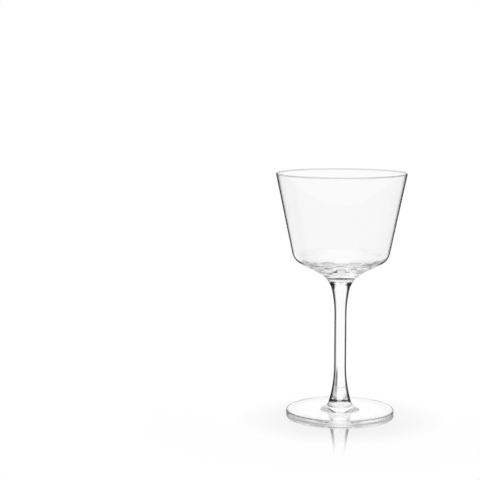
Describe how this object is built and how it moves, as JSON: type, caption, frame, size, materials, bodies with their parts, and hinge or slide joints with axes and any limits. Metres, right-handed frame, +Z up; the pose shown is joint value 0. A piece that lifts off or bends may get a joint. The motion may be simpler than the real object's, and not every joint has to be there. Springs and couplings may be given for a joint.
{
  "type": "nick and nora glass",
  "caption": "Clear stemmed cocktail glass: a tapered bowl with a rounded shoulder and shallow cone base, a slim flared stem and a thin flat round foot.",
  "frame": {"origin": "on the table, under the middle of the foot", "axes": "+Z up along the stem towards the rim; the glass is round, so +X and +Y may point anywhere"},
  "size_m": [0.0804, 0.0804, 0.1497],
  "materials": {
    "clear_glass": "clear, colourless, fire-polished"
  },
  "bodies": {
    "root": {"bowl": "clear_glass", "stem": "clear_glass", "foot": "clear_glass"}
  },
  "joints": []
}
